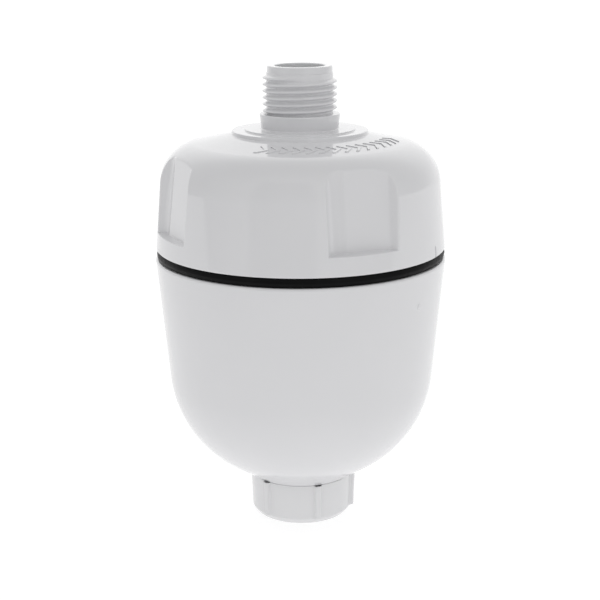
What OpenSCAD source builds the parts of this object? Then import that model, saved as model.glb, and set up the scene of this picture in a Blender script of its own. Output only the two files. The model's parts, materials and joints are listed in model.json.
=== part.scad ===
// In-line water filter for a shower hose: a bowl with a swivel nut, a screwed cap
// with a threaded outlet, and a drop-in cartridge between them.
// Millimetres. +Z runs up the axis, from the nut's open end to the outlet.

/* [Overall] */
// Height from the nut's open end to the outlet's rim
total_h = 131; // [129:0.5:133]
// Height of the bowl's rim
bowl_top_z = 77.4; // [76.5:0.1:78]
// Height of the cap's lower edge
cap_low_z = 80.1; // [79.5:0.1:81]

/* [Cap] */
// Radius of the cap at its lower edge
cap_r = 41.05; // [40.5:0.05:42]
// Draft of the cap's skirt, in degrees
cap_draft = 4.7; // [3:0.1:6]
// Radius of the round shoulder
shoulder_r = 12.3; // [11:0.1:13]
// Radius of the crease where the top face meets the shoulder
crease_r = 30.5; // [29:0.5:32]
// Height of that crease
crease_z = 110; // [109:0.5:111]
// Radius of the stepped disc round the outlet
disc_r = 19; // [17:0.5:21]
// Height of the disc's upper face
disc_z = 113.2; // [112.5:0.1:114]
// Radius of the smaller tier on the disc
tier_r = 15.6; // [14:0.1:17]
// Radius of the cap's inside
cap_bore_r = 34.2; // [33.5:0.1:34.5]

/* [Grip recesses] */
// Number of recesses
recess_count = 4; // [3:1:6]
// Distance from the axis to a recess's floor, at its ledge
recess_floor = 38.1; // [37.5:0.1:38.6]
// Half the width of a recess
recess_half_w = 10.2; // [8:0.1:11]
// Height of a recess's ledge above the cap's lower edge
recess_ledge = 5.2; // [4:0.1:8]

/* [Outlet, G 1/2] */
// Crest radius of the outlet thread
outlet_crest_r = 10.48; // [10.4:0.01:10.5]
// Root radius of the outlet thread
outlet_root_r = 9.32; // [9.2:0.01:9.4]
// Pitch, 14 threads to the inch
pipe_pitch = 1.814; // [1.8:0.001:1.83]
// Radius of the plain lead-in above the thread
lead_in_r = 9.12; // [9:0.01:9.15]
// Length of the lead-in
lead_in_h = 1.9; // [1.5:0.1:3]
// Radius of the outlet's waterway
outlet_bore_r = 7; // [6.5:0.1:7.2]

/* [Bowl] */
// Radius of the bowl at its rim
bowl_r = 41.3; // [40.5:0.1:41.5]
// Draft of the bowl's side, in degrees
bowl_draft = 5.3; // [5:0.1:6]
// Radius of the bowl's round bottom
bottom_r = 33.7; // [33:0.1:34]
// Distance from the axis to that curve's centre
bottom_offset = 4.5; // [4:0.1:5]
// Wall thickness
bowl_wall = 2.9; // [2.7:0.1:3.1]
// Slope of the cone under that curve, in degrees from level
foot_slope = 33; // [32:0.5:35]
// Radius of the bowl's lowest edge, over the nut
foot_r = 13.8; // [13.7:0.1:14.2]

/* [Housing thread] */
// Pitch of the thread between the cap and the bowl
house_pitch = 3; // [2.8:0.1:3.2]
// Root radius of the cap's male thread
male_root_r = 37; // [36.9:0.05:37.1]
// Crest radius of the cap's male thread
male_crest_r = 38; // [37.9:0.05:38.05]
// Root radius of the bowl's female thread
female_root_r = 38.35; // [38.3:0.05:38.5]
// Crest radius of the bowl's female thread
female_crest_r = 37.35; // [37.3:0.05:37.5]

/* [Swivel nut] */
// Radius of the nut at its top
nut_top_r = 15; // [14.8:0.1:15.2]
// Radius of the nut just above its end chamfer
nut_low_r = 14.6; // [14.4:0.1:15]
// Height of the nut's grip
nut_h = 11.95; // [11.75:0.05:11.95]
// Number of grip ribs
nut_ribs = 5; // [3:1:6]
// Root radius of the nut's thread
nut_root_r = 10.62; // [10.58:0.01:10.7]
// Crest radius of the nut's thread
nut_crest_r = 9.42; // [9.35:0.01:9.5]

/* [Cartridge] */
// Outer radius of the cartridge
cart_r = 29.5; // [28:0.5:30]
// Wall thickness of the cartridge tube
cart_wall = 1.8; // [1.2:0.1:2.2]
// Height of the cartridge's underside
cart_low_z = 30; // [29.5:0.5:31]
// Radius of the spigot that plugs into the cap
spigot_r = 9.2; // [9:0.05:9.25]

/* [Hidden] */

$fn = 96;
cut = 1;                       // how far a cutting shape runs past the face it opens
running_gap = 0.06;            // between a seal and the bore that turns on it
body_white = [0.86, 0.86, 0.87];
inner_white = [0.93, 0.93, 0.92];
rubber_black = [0.06, 0.06, 0.06];

// ---- cap ----
// Centre of the shoulder's arc: it touches the drafted skirt and passes the crease.
skirt_dir = [-sin(cap_draft), cos(cap_draft)];
skirt_in = [-cos(cap_draft), -sin(cap_draft)];
to_line = [cap_r, cap_low_z] + shoulder_r * skirt_in - [crease_r, crease_z];
along = -to_line * skirt_dir;
skirt_len = along - sqrt(along * along - to_line * to_line + shoulder_r * shoulder_r);
shoulder_c = [cap_r, cap_low_z] + shoulder_r * skirt_in + skirt_len * skirt_dir;
crease_angle = atan2(crease_z - shoulder_c[1], crease_r - shoulder_c[0]);
shoulder_steps = 14;
edge_round = 0.5;              // round on the lower outer edge
edge_break = 0.3;              // chamfer on the small steps round the outlet
rim_break = 0.4;               // chamfer on the outlet's rim
disc_h = 1;                    // height of the disc's wall
tier_h = 0.4;
collar_top_r = 11.3;
collar_low_r = 10.8;
collar_top_z = 117.8;
inner_round = 8;               // round between the cap's inside wall and its top
inner_top_z = 107.1;           // underside of the top face, at the end of that round
inner_slope = 10;
boss_r = 12.4;                 // socket for the cartridge's spigot
boss_low_z = 101;
socket_r = spigot_r + 0.2;
socket_top_z = 110.6;
socket_lead = 0.6;             // chamfer that guides the spigot in
seat_r = 8.2;                  // counterbore for the flow regulator
seat_top_z = 115.8;
skirt_low_z = 67.6;            // lower end of the threaded skirt
skirt_break = 0.8;
recess_first = -65.2;          // azimuth of the first recess, from +X
recess_lean = 6.5;             // how much a recess's floor leans in, in degrees
recess_wall_w = 1.6;           // width of the steep wall on one side of the floor
recess_over = 4;               // how far the cutting shape reaches past the skirt
recess_edge = 39.3;            // distance from the axis where the sides come out, at the ledge
cove_w = 5.9;                 // width of the round cove on the floor's clockwise side
cove_r = 5;                   // radius of that cove
cove_a = [recess_edge, -recess_half_w];
cove_b = [recess_floor, cove_w - recess_half_w];
cove_half = norm(cove_b - cove_a) / 2;
cove_out = [cove_b[1] - cove_a[1], cove_a[0] - cove_b[0]] / (2 * cove_half);
cove_c = (cove_a + cove_b) / 2 + sqrt(cove_r * cove_r - cove_half * cove_half) * cove_out;
mark_count = 15;
mark_first = -112.5;
mark_last = -11;
mark_r = 25.7;
mark_len = 5;
mark_w = 2.6;
mark_stroke = 1.2;
mark_h = 0.3;
mark_sink = 0.5;
notch_azimuth = -25.5;
notch_w = 0.8;
notch_h = 3.3;
notch_depth = 0.7;

// ---- bowl ----
side_n = [cos(bowl_draft), -sin(bowl_draft)];
side_d = side_n * [bowl_r, bowl_top_z];
bottom_z = (cos(bowl_draft) * bottom_offset - side_d + bottom_r) / sin(bowl_draft);
bottom_c = [bottom_offset, bottom_z];
cone_top = [bottom_offset + bottom_r * sin(foot_slope), bottom_z - bottom_r * cos(foot_slope)];
foot_z = cone_top[1] - (cone_top[0] - foot_r) * tan(foot_slope);
rim_round = 0.6;
floor_z = 17.6;                // inside floor round the hub
floor_r = 17;
floor_break = 0.8;
thread_step = [-1.1, -1.2];     // step from the thread's root in to the wall below it
recess_r = 13.3;               // recess in the foot for the nut's neck
recess_z = 14.4;
hub_r = 11;
hub_top_z = 27;
hub_bore_r = 7.9;
hub_shoulder_z = 25;
hub_way_r = 5.6;
rib_count = 6;
rib_t = 2;
rib_in_r = 10;
rib_out_r = 27;
rib_out_z = 22.6;               // a rib's underside at its outer end, inside the wall
rib_sink = 1;
pip_azimuth = -38;
pip_z = 68;
pip_r = 0.7;
pip_h = 0.25;
pip_sink = 0.4;

// ---- seal band ----
band_in_r = male_crest_r + 0.1;
band_out_r = cap_r - 0.1;
band_bulge = 1;                // how far its outer edge bulges

// ---- threads ----
thread_sink = 0.2;             // how deep a ridge's base sits in its wall
pipe_base_w = 1.45;
pipe_tip_w = 0.4;
pipe_segs = 40;
outlet_turns = 5.47;
outlet_thread_z = 118.25;       // middle of the outlet's ridge where it starts
outlet_first = 110;            // azimuth where it starts
house_base_w = 1.6;
house_tip_w = 0.8;
house_segs = 60;
male_turns = 2.8;
male_z = 68.4;                 // middle of the male ridge where it starts
female_turns = 3.1;
female_z = male_z - house_pitch / 2;

// ---- nut and tailpiece ----
nut_neck_r = 12.9;
nut_neck_top_z = 14;
nut_lip_z = 11.9;
nut_hole_r = 8;
nut_mouth_r = 10.9;
nut_mouth_h = 1.5;
nut_chamber_r = 9.7;
nut_chamber_z = 8.4;
nut_end_chamfer = 1.2;
nut_end_h = 1.6;
nut_top_break = 0.2;
nut_shoulder_r = 13.9;         // the nut's top slopes in to here, parallel to the bowl's cone
nut_shoulder_z = 11.3;
nut_rib_h = 1;
nut_rib_w = 2;
nut_rib_sink = 1;
nut_rib_end = [-0.55, -0.35];  // a rib's upper inner corner, from the nut's upper edge
nut_rib_first = -132;
nut_rib_step = 60;
tail_r = 7.8;
tail_bore_r = 5.5;
tail_flange_r = 9.15;
tail_flange_z = 10.2;
tail_flange_h = 1.5;
tail_hex_r = 6.6;
tail_hex_h = 4;
tail_groove_z = 18;
tail_groove_r = 6.45;          // bottom of the O-ring's groove
tail_groove_h = 2.1;
tail_cord = (hub_bore_r - running_gap - tail_groove_r) / 2;
washer_h = 2;
washer_r = 9.25;
washer_bore_r = 5.7;
strainer_r = 5.6;
strainer_rim = 0.7;            // radial width of the strainer's rim
strainer_z = 8.8;
strainer_t = 0.4;
strainer_pitch = 1.3;
strainer_opening = 0.85;

// ---- flow regulator ----
regulator_r = seat_r - 0.05;
regulator_lift = 0.6;          // from the seat's lower end up to the regulator
regulator_roof_t = 1.4;
channel_out_r = 6.8;           // the ring-shaped channel that its O-ring lies in
channel_in_r = 3;
regulator_ways = 8;
way_at_r = 5.2;                // holes through the roof
way_r = 0.8;
flute_r = 0.5;                 // flutes down the core, which meter the flow
regulator_ring_r = 5.05;
regulator_cord = 1.3;

// ---- cartridge ----
tube_low_z = 33;
tube_top_z = 95;
bed_r = cart_r - cart_wall - 0.1;
ring_in_r = 26;
pad_r = ring_in_r - 0.1;
screen_t = 0.6;
screen_rim = 0.6;
screen_pitch = 6;
screen_opening = 4.4;
low_bed_z = 36;
mid_bed_z = 56;
high_bed_z = 72;
bed_top_z = 92;
pad_h = 2.4;
lid_z = 97;
lid_t = 2;
slot_in_r = 4.5;               // water slots in the bottom cap
slot_out_r = 24.5;
slot_w = 2.1;
spoke_in_r = 8;                // spokes that hold the top screen down
spoke_w = 1.6;
spoke_sink = 0.5;
spigot_top_z = 110.2;
spigot_bore_r = 6.5;
spigot_groove_z = 105;
spigot_groove_r = 7.45;        // bottom of the O-ring's groove
spigot_groove_h = 2.4;
spigot_cord = (socket_r - running_gap - spigot_groove_r) / 2;

// A point at angle a on a circle of radius r about c.
function on_circle(c, r, a) = [c[0] + r * cos(a), c[1] + r * sin(a)];

// The points of an arc from angle a0 to a1, both ends included.
function arc(c, r, a0, a1, steps) =
    [for (i = [0:steps]) on_circle(c, r, a0 + (a1 - a0) * i / steps)];

// One cross-section of a thread ridge, as four points at azimuth a and height z.
function ridge_section(seat, tip, seat_w, tip_w, a, z) =
    [for (p = [[seat, -seat_w / 2], [tip, -tip_w / 2], [tip, tip_w / 2], [seat, seat_w / 2]])
        [p[0] * cos(a), p[0] * sin(a), z + p[1]]];

// A right-hand thread ridge that stands on a wall of radius wall_r and reaches tip_r,
// outwards or inwards. Both ends fade into the wall.
module thread_ridge(wall_r, crest_r, base_w, tip_w, pitch, low_z, turns, first, segs) {
    side = crest_r > wall_r ? 1 : -1;
    seat = wall_r - side * thread_sink;
    buried = wall_r - side * thread_sink / 2;
    seat_w = base_w + (base_w - tip_w) * thread_sink / abs(crest_r - wall_r);
    steps = ceil(turns * segs);
    fade = segs / 6;
    function share(i) = min(1, i / fade, (steps - i) / fade);
    points = [for (i = [0:steps])
        each ridge_section(seat, buried + (crest_r - buried) * share(i), side * seat_w,
                           side * tip_w, first + 360 * i / segs, low_z + pitch * i / segs)];
    sides = [for (i = [0:steps - 1], j = [0:3])
        let (a = 4 * i + j, b = 4 * i + (j + 1) % 4)
        each [[a, b, b + 4], [a, b + 4, a + 4]]];
    last = 4 * steps;
    ends = [[3, 2, 1, 0], [last, last + 1, last + 2, last + 3]];
    polyhedron(points = points, faces = concat(sides, ends), convexity = 10);
}

module cylinder_between(r, low, high) {
    translate([0, 0, low]) cylinder(r = r, h = high - low);
}

module ring(r_out, r_in, low, high) {
    difference() {
        cylinder_between(r_out, low, high);
        cylinder_between(r_in, low - cut, high + cut);
    }
}

module oring(mid_r, cord_r, z) {
    translate([0, 0, z]) rotate_extrude() translate([mid_r, 0]) circle(r = cord_r, $fn = 32);
}

// A thin round screen with square openings.
module screen(r, low, t, pitch, opening) {
    reach = floor(r / pitch);
    translate([0, 0, low]) linear_extrude(t) difference() {
        circle(r = r);
        for (i = [-reach:reach], j = [-reach:reach])
            if (norm([abs(i) + 0.5, abs(j) + 0.5]) * pitch < r - screen_rim)
                translate([i * pitch, j * pitch]) square(opening, center = true);
    }
}

// ---- bowl ----
module bowl_body() {
    outer = concat(
        [[hub_bore_r, recess_z], [recess_r, recess_z], [recess_r, foot_z], [foot_r, foot_z]],
        arc(bottom_c, bottom_r, foot_slope - 90, -bowl_draft, 18),
        arc([bowl_r - rim_round, bowl_top_z - rim_round], rim_round, 0, 90, 4));
    inner_r = bottom_r - bowl_wall;
    floor_angle = -acos((floor_r - bottom_offset) / inner_r);
    thread_low = [female_root_r, female_z - house_pitch / 2];
    inner = concat(
        [[female_root_r, bowl_top_z], thread_low, thread_low + thread_step],
        arc(bottom_c, inner_r, -bowl_draft, floor_angle, 16),
        [[floor_r - floor_break, floor_z], [hub_r, floor_z], [hub_r, hub_top_z],
         [hub_way_r, hub_top_z], [hub_way_r, hub_shoulder_z], [hub_bore_r, hub_shoulder_z]]);
    rotate_extrude() polygon(concat(outer, inner));
}

module bowl_ribs() {
    for (i = [0:rib_count - 1])
        rotate([90, 0, i * 360 / rib_count]) translate([0, 0, -rib_t / 2])
            linear_extrude(rib_t)
                polygon([[rib_in_r, floor_z - rib_sink], [floor_r, floor_z - rib_sink],
                         [rib_out_r, rib_out_z], [rib_out_r, cart_low_z],
                         [rib_in_r, cart_low_z]]);
}

module bowl_pip() {
    side_r = bowl_r - (bowl_top_z - pip_z) * tan(bowl_draft);
    rotate([0, 0, pip_azimuth]) translate([side_r - pip_sink, 0, pip_z]) rotate([0, 90, 0])
        cylinder(r = pip_r, h = pip_sink + pip_h, $fn = 24);
}

module bowl_shell() {
    color(body_white) union() {
        bowl_body();
        bowl_ribs();
        bowl_pip();
        thread_ridge(female_root_r, female_crest_r, house_base_w, house_tip_w, house_pitch,
                     female_z, female_turns, 0, house_segs);
    }
}

module housing_oring() {
    mid_z = (bowl_top_z + cap_low_z) / 2;
    half = (cap_low_z - bowl_top_z) / 2;
    color(rubber_black) rotate_extrude() polygon(concat(
        [[band_in_r, cap_low_z], [band_in_r, bowl_top_z]],
        [for (a = [-90:15:90]) [band_out_r - band_bulge * (1 - cos(a)), mid_z + half * sin(a)]]));
}

// ---- swivel nut and tailpiece ----
module nut_body() {
    rotate_extrude() polygon([
        [nut_mouth_r, 0], [nut_low_r - nut_end_chamfer, 0], [nut_low_r, nut_end_h],
        [nut_top_r, nut_h - nut_top_break], [nut_top_r - nut_top_break, nut_h],
        [nut_shoulder_r, nut_shoulder_z], [nut_neck_r, nut_shoulder_z],
        [nut_neck_r, nut_neck_top_z], [nut_hole_r, nut_neck_top_z],
        [nut_hole_r, nut_lip_z], [nut_chamber_r, nut_lip_z], [nut_chamber_r, nut_chamber_z],
        [nut_root_r, nut_chamber_z], [nut_root_r, nut_mouth_h], [nut_mouth_r, nut_mouth_h]]);
}

module nut_rib() {
    out_r = nut_top_r + nut_rib_h;
    rotate([90, 0, 0]) translate([0, 0, -nut_rib_w / 2]) linear_extrude(nut_rib_w)
        polygon([[nut_low_r - nut_rib_sink, nut_end_h], [nut_low_r + nut_rib_h, nut_end_h],
                 [out_r, nut_h - nut_top_break], [out_r - nut_top_break, nut_h],
                 [nut_top_r, nut_h] + nut_rib_end]);
}

module swivel_nut() {
    turns = (nut_chamber_z - nut_mouth_h) / pipe_pitch - 1;
    color(body_white) union() {
        nut_body();
        for (i = [0:nut_ribs - 1])
            rotate([0, 0, nut_rib_first + i * nut_rib_step]) nut_rib();
        thread_ridge(nut_root_r, nut_crest_r, pipe_base_w, pipe_tip_w, pipe_pitch,
                     nut_mouth_h + pipe_pitch / 2, turns, 0, pipe_segs);
    }
}

module inlet_tailpiece() {
    flange_top = tail_flange_z + tail_flange_h;
    color(inner_white) difference() {
        union() {
            cylinder_between(tail_flange_r, tail_flange_z, flange_top);
            cylinder_between(tail_r, flange_top, hub_shoulder_z);
        }
        cylinder_between(tail_bore_r, tail_flange_z - cut, hub_shoulder_z + cut);
        cylinder_between(tail_hex_r, tail_flange_z - cut, tail_flange_z + tail_hex_h, $fn = 6);
        ring(tail_r + cut, tail_groove_r, tail_groove_z - tail_groove_h / 2,
             tail_groove_z + tail_groove_h / 2);
    }
}

module tailpiece_oring() {
    color(rubber_black) oring(tail_groove_r + tail_cord, tail_cord, tail_groove_z);
}

module nut_washer() {
    color(rubber_black)
        ring(washer_r, washer_bore_r, tail_flange_z - washer_h, tail_flange_z);
}

module inlet_strainer() {
    color("silver") union() {
        ring(strainer_r, strainer_r - strainer_rim, tail_flange_z - washer_h, tail_flange_z);
        screen(strainer_r - strainer_rim / 2, strainer_z, strainer_t, strainer_pitch,
               strainer_opening);
    }
}

// ---- cap ----
module cap_body() {
    skirt_top = [cap_r, cap_low_z] + skirt_len * skirt_dir;
    lead_z = total_h - lead_in_h;
    outer = concat(
        [[male_root_r, skirt_low_z + skirt_break], [male_root_r, cap_low_z]],
        arc([cap_r - edge_round, cap_low_z + edge_round], edge_round, -90, -cap_draft, 4),
        arc(shoulder_c, shoulder_r, cap_draft, crease_angle, shoulder_steps),
        [[disc_r + edge_break, disc_z - disc_h], [disc_r, disc_z - disc_h + edge_break],
         [disc_r, disc_z - edge_break], [disc_r - edge_break, disc_z],
         [tier_r + edge_break, disc_z], [tier_r, disc_z + tier_h],
         [collar_low_r + edge_break, disc_z + tier_h],
         [collar_low_r, disc_z + tier_h + edge_break],
         [collar_top_r, collar_top_z - edge_break], [collar_top_r - edge_break, collar_top_z],
         [outlet_root_r, collar_top_z], [outlet_root_r, lead_z],
         [lead_in_r, lead_z], [lead_in_r, total_h - rim_break],
         [lead_in_r - rim_break, total_h]]);
    round_c = [cap_bore_r - inner_round, inner_top_z - inner_round * cos(inner_slope)];
    round_end = on_circle(round_c, inner_round, 90 - inner_slope);
    boss_root_z = round_end[1] + (round_end[0] - boss_r) * tan(inner_slope);
    inner = concat(
        [[outlet_bore_r + rim_break, total_h], [outlet_bore_r, total_h - rim_break],
         [outlet_bore_r, seat_top_z], [seat_r, seat_top_z], [seat_r, socket_top_z],
         [socket_r, socket_top_z], [socket_r, boss_low_z + socket_lead],
         [socket_r + socket_lead, boss_low_z], [boss_r, boss_low_z], [boss_r, boss_root_z]],
        arc(round_c, inner_round, 90 - inner_slope, 0, 8),
        [[cap_bore_r, skirt_low_z], [male_root_r - skirt_break, skirt_low_z]]);
    rotate_extrude() polygon(concat(outer, inner));
}

// The space a grip recess takes out of the cap: a flat floor with a steep wall on one side
// and a round cove, a little deeper than the floor, on the other.
module grip_recess() {
    half = recess_half_w;
    out_r = cap_r + recess_over;
    wall_out = half + (out_r - recess_edge) * recess_wall_w / (recess_edge - recess_floor);
    to_a = cove_a - cove_c;
    to_b = cove_b - cove_c;
    a0 = atan2(to_a[1], to_a[0]);
    a1 = atan2(to_b[1], to_b[0]) - 360;
    translate([recess_floor, 0, cap_low_z + recess_ledge]) rotate([0, -recess_lean, 0])
        linear_extrude(crease_z - cap_low_z) translate([-recess_floor, 0])
            polygon(concat([[out_r, -half - (out_r - recess_edge) / 2]],
                           arc(cove_c, cove_r, a0, a1, 8),
                           [[recess_floor, half - recess_wall_w], [out_r, wall_out]]));
}

// A raised chevron that points the way the cap turns off.
module turn_mark() {
    slope = atan2(disc_z - disc_h - crease_z, crease_r - disc_r);
    face_z = crease_z + (crease_r - mark_r) * tan(slope);
    s = mark_stroke / 2;
    translate([mark_r, 0, face_z]) rotate([0, slope, 0]) translate([0, 0, -mark_sink])
        linear_extrude(mark_h + mark_sink)
            polygon([[-mark_len / 2, -mark_w / 2 - s], [0, mark_w / 2 - s],
                     [mark_len / 2, -mark_w / 2 - s], [mark_len / 2, -mark_w / 2 + s],
                     [0, mark_w / 2 + s], [-mark_len / 2, -mark_w / 2 + s]]);
}

module cap_shell() {
    color(body_white) union() {
        difference() {
            cap_body();
            for (i = [0:recess_count - 1])
                rotate([0, 0, recess_first + i * 360 / recess_count]) grip_recess();
            rotate([0, 0, notch_azimuth])
                translate([cap_r - notch_depth, -notch_w / 2, cap_low_z - cut])
                    cube([notch_depth + cut, notch_w, notch_h + cut]);
        }
        for (i = [0:mark_count - 1])
            rotate([0, 0, mark_first + (mark_last - mark_first) * i / (mark_count - 1)])
                turn_mark();
        thread_ridge(outlet_root_r, outlet_crest_r, pipe_base_w, pipe_tip_w, pipe_pitch,
                     outlet_thread_z, outlet_turns, outlet_first, pipe_segs);
        thread_ridge(male_root_r, male_crest_r, house_base_w, house_tip_w, house_pitch,
                     male_z, male_turns, 0, house_segs);
    }
}

// ---- flow regulator ----
module flow_regulator_body() {
    low = socket_top_z + regulator_lift;
    roof = seat_top_z - regulator_roof_t;
    step = 360 / regulator_ways;
    color("seagreen") difference() {
        cylinder_between(regulator_r, low, seat_top_z);
        ring(channel_out_r, channel_in_r, low - cut, roof);
        for (i = [0:regulator_ways - 1]) rotate([0, 0, i * step]) {
            translate([way_at_r, 0, 0])
                cylinder_between(way_r, roof - cut, seat_top_z + cut, $fn = 24);
            translate([channel_in_r, 0, 0])
                cylinder_between(flute_r, low - cut, roof, $fn = 24);
        }
    }
}

module flow_regulator_oring() {
    color(rubber_black)
        oring(regulator_ring_r, regulator_cord, seat_top_z - regulator_roof_t - regulator_cord);
}

// ---- cartridge ----
module cartridge_shell() {
    color(inner_white) ring(cart_r, cart_r - cart_wall, tube_low_z, tube_top_z);
}

// A ring of radial slots or spokes, each a bar of width w from radius r0 to r1.
module spokes(count, first, r0, r1, w, low, high) {
    for (i = [0:count - 1]) rotate([0, 0, first + i * 360 / count])
        translate([r0, -w / 2, low]) cube([r1 - r0, w, high - low]);
}

module cartridge_bottom_cap() {
    color(inner_white) union() {
        difference() {
            cylinder_between(cart_r, cart_low_z, tube_low_z);
            spokes(18, 10, 15, slot_out_r, slot_w, cart_low_z - cut, tube_low_z + cut);
            spokes(9, 0, slot_in_r, 12, slot_w, cart_low_z - cut, tube_low_z + cut);
        }
        ring(bed_r, ring_in_r, tube_low_z, low_bed_z);
    }
}

module cartridge_top_cap() {
    color(inner_white) difference() {
        union() {
            cylinder_between(cart_r, lid_z, lid_z + lid_t);
            ring(cart_r, ring_in_r, tube_top_z, lid_z);
            ring(bed_r, ring_in_r, bed_top_z, tube_top_z);
            spokes(8, 0, spoke_in_r, ring_in_r + spoke_sink, spoke_w, tube_top_z,
                   lid_z + spoke_sink);
            cylinder_between(spigot_r, lid_z + lid_t, spigot_top_z);
        }
        cylinder_between(spigot_bore_r, lid_z - cut, spigot_top_z + cut);
        ring(spigot_r + cut, spigot_groove_r, spigot_groove_z - spigot_groove_h / 2,
             spigot_groove_z + spigot_groove_h / 2);
    }
}

module cartridge_spigot_oring() {
    color(rubber_black) oring(spigot_groove_r + spigot_cord, spigot_cord, spigot_groove_z);
}

module bottom_screen() {
    color("silver") screen(pad_r, tube_low_z, screen_t, screen_pitch, screen_opening);
}

module bottom_felt() {
    color("white") cylinder_between(pad_r, tube_low_z + screen_t, low_bed_z);
}

module sulfite_bed() {
    color("ivory") cylinder_between(bed_r, low_bed_z, mid_bed_z);
}

module lower_divider() {
    color("silver") screen(bed_r, mid_bed_z, screen_t, screen_pitch, screen_opening);
}

module copper_zinc_bed() {
    color("goldenrod") cylinder_between(bed_r, mid_bed_z + screen_t, high_bed_z);
}

module upper_divider() {
    color("silver") screen(bed_r, high_bed_z, screen_t, screen_pitch, screen_opening);
}

module carbon_bed() {
    color([0.12, 0.12, 0.12]) cylinder_between(bed_r, high_bed_z + screen_t, bed_top_z);
}

module top_felt() {
    color("white") cylinder_between(pad_r, bed_top_z, bed_top_z + pad_h);
}

module top_screen() {
    color("silver") screen(pad_r, bed_top_z + pad_h, screen_t, screen_pitch, screen_opening);
}

bowl_shell();
inlet_tailpiece();
tailpiece_oring();
swivel_nut();
nut_washer();
inlet_strainer();
housing_oring();
cap_shell();
flow_regulator_body();
flow_regulator_oring();
cartridge_shell();
cartridge_bottom_cap();
cartridge_top_cap();
cartridge_spigot_oring();
bottom_screen();
bottom_felt();
sulfite_bed();
lower_divider();
copper_zinc_bed();
upper_divider();
carbon_bed();
top_felt();
top_screen();
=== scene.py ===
import json
import math

import bmesh
import bpy
import numpy as np
from mathutils import Matrix, Vector


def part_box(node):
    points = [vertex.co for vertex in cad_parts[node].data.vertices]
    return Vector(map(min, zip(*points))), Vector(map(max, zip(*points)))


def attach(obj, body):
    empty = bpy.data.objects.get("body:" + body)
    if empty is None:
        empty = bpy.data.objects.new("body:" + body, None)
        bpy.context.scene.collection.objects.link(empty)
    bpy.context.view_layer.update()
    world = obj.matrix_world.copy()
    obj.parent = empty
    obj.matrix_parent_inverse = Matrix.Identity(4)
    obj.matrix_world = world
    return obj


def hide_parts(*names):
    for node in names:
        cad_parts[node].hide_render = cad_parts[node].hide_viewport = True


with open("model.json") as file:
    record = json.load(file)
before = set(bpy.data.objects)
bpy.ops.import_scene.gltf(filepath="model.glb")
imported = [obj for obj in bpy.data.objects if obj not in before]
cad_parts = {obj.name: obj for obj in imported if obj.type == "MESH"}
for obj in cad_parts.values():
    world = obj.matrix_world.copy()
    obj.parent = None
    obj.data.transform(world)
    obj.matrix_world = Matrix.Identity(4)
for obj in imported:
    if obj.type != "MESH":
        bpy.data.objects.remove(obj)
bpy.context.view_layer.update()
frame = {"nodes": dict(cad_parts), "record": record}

# Lengths below are in millimetres, and a mesh is written in metres.
MM = 0.001
TAU = 2 * math.pi


def mm(corner):
    """A corner of a CAD box, in millimetres."""
    return Vector(corner) / MM


cap_lo, cap_hi = map(mm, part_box("cap_shell"))
band_lo, band_hi = map(mm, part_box("housing_oring"))
nut_top = mm(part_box("swivel_nut")[1]).z
regulator_top = mm(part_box("flow_regulator_body")[1]).z
cartridge_low = mm(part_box("cartridge_bottom_cap")[0]).z


# ---------------------------------------------------------------- camera and light
CAMERA_BACK = 384          # horizontal distance from the object's axis
CAMERA_UP = 165            # height above the nut's open end
CAMERA_SIDE = -0.25        # sideways distance from the object's axis
CAMERA_PITCH = 14.77       # degrees below level
CAMERA_ROLL = -0.3         # degrees
LENS = 82.4                # focal length, on a sensor 36 wide

# Brightness of the light tent, from the side the camera is on (-1) to the back (1)
TENT = [(-1, 0.86), (-0.6, 0.78), (-0.2, 0.56), (0.1, 0.46),
        (0.4, 0.58), (0.7, 1.0), (1, 1.26)]
TENT_MAX = 1.5               # the brightness that the tent's curve calls 1
# The tent's open front: degrees from the camera's side, sine of the elevation, soft edges
GAP_AZIMUTH, GAP_AZIMUTH_SOFT = (-41, 12), 0.04
GAP_HEIGHT, GAP_HEIGHT_SOFT = (-0.9, 0.78), 0.06
GAP_DEPTH = 0.42             # share of the light that's missing there
OVERHEAD = 0.4               # how much brighter the tent is overhead than at its sides
OVERHEAD_FROM, OVERHEAD_SOFT = 0.45, 0.3    # sine of the elevation where that starts
TABLE_GLOW = 0.65            # light that comes up through the table
TABLE_HALF = 3.0             # half of the table's width, in metres
TABLE_FRONT = 0.24           # from the object to the table's front edge, in metres


def make_camera():
    """The camera, in front of the object and looking slightly down at it."""
    data = bpy.data.cameras.new("camera")
    data.lens = LENS
    data.sensor_width = 36
    data.clip_start = 0.01
    data.clip_end = 20
    camera = bpy.data.objects.new("camera", data)
    camera.location = Vector((CAMERA_SIDE, -CAMERA_BACK, CAMERA_UP)) * MM
    tilt = Matrix.Rotation(math.radians(90 - CAMERA_PITCH), 4, "X")
    roll = Matrix.Rotation(math.radians(CAMERA_ROLL), 4, "Z")
    camera.rotation_euler = (tilt @ roll).to_euler()
    bpy.context.scene.collection.objects.link(camera)
    bpy.context.scene.camera = camera


def math_node(tree, operation, *values):
    """A Math node. Each value is a number or another node's output."""
    node = tree.nodes.new("ShaderNodeMath")
    node.operation = operation
    for slot, value in enumerate(values):
        if isinstance(value, (int, float)):
            node.inputs[slot].default_value = value
        else:
            tree.links.new(value, node.inputs[slot])
    return node.outputs[0]


def soft_window(tree, value, low, high, soft):
    """1 between low and high, 0 outside, with soft edges."""
    sides = []
    for edge, sign in ((low, 1), (high, -1)):
        node = tree.nodes.new("ShaderNodeMapRange")
        node.interpolation_type = "SMOOTHSTEP"
        node.inputs["From Min"].default_value = edge - sign * soft
        node.inputs["From Max"].default_value = edge + sign * soft
        tree.links.new(value, node.inputs["Value"])
        sides.append(node.outputs["Result"])
    return math_node(tree, "MULTIPLY", *sides)


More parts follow.
